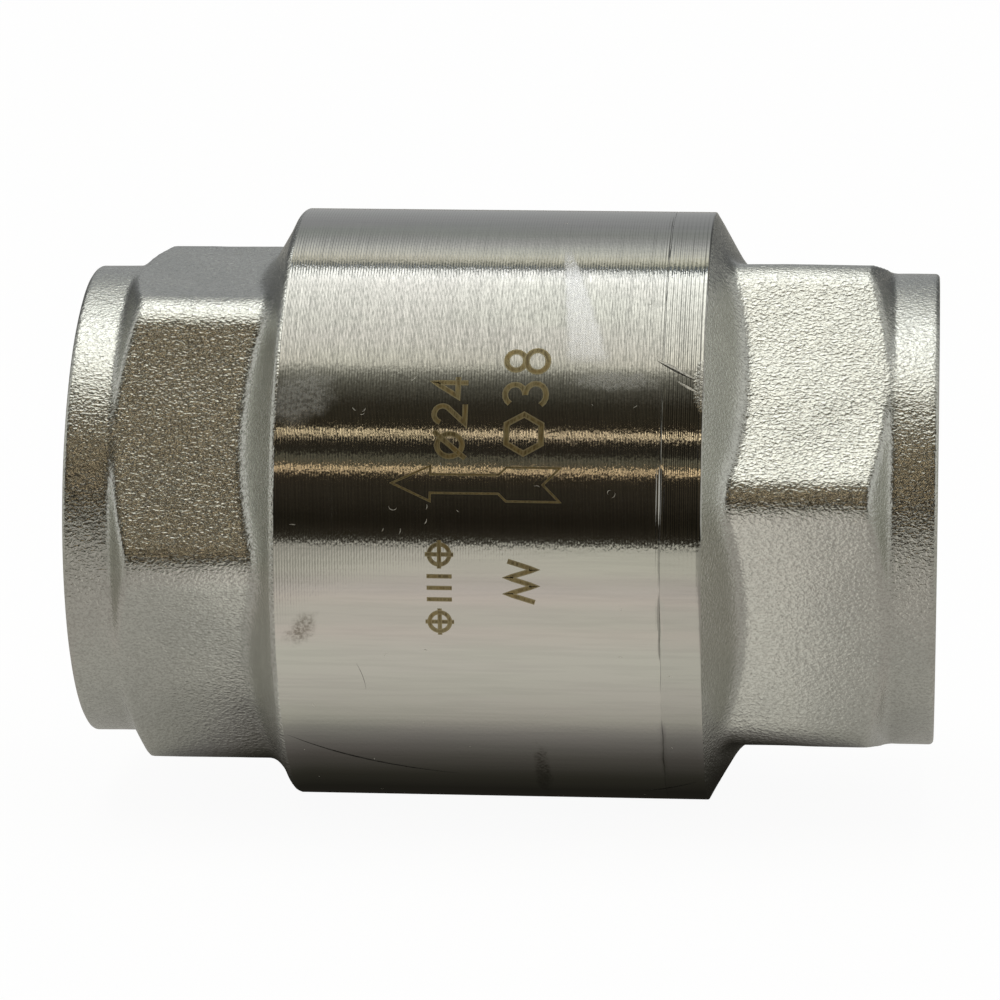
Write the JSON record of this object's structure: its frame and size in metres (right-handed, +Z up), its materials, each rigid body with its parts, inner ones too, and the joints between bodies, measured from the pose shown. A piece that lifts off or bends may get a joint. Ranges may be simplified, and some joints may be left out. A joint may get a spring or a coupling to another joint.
{
  "type": "in-line spring check valve",
  "caption": "In-line spring check valve with a screwed stainless steel body, wrench hexagons, female pipe threads and a spring-loaded guided disc.",
  "frame": {"origin": "middle of the valve on the flow axis", "axes": "+X along the flow axis towards the inlet, +Z up with the valve lying down"},
  "size_m": [0.068, 0.0474, 0.0474],
  "materials": {
    "cast_stainless": "bead-blasted investment casting, with the barrel turned bright",
    "machined_stainless": "turned, fine tool marks",
    "spring_stainless": "drawn wire, smooth",
    "ptfe": "white, waxy"
  },
  "bodies": {
    "valve_body": {"outlet_body": "cast_stainless", "inlet_cap": "cast_stainless", "body_gasket": "ptfe", "stem_guide": "machined_stainless", "guide_bush": "ptfe", "guide_circlip": "spring_stainless", "spring": "spring_stainless"},
    "poppet": {"stem": "machined_stainless", "disc": "machined_stainless", "seat_seal": "ptfe", "seal_retainer": "machined_stainless", "lock_washer": "spring_stainless", "stem_nut": "machined_stainless"}
  },
  "joints": [
    {"name": "poppet_lift", "type": "slide", "parent": "valve_body", "child": "poppet", "axis": [-1, 0, 0], "range_m": [0, 0.0065], "stiffness_N_per_m": 400, "springref_m": -0.0056, "deforming": ["spring"]}
  ]
}
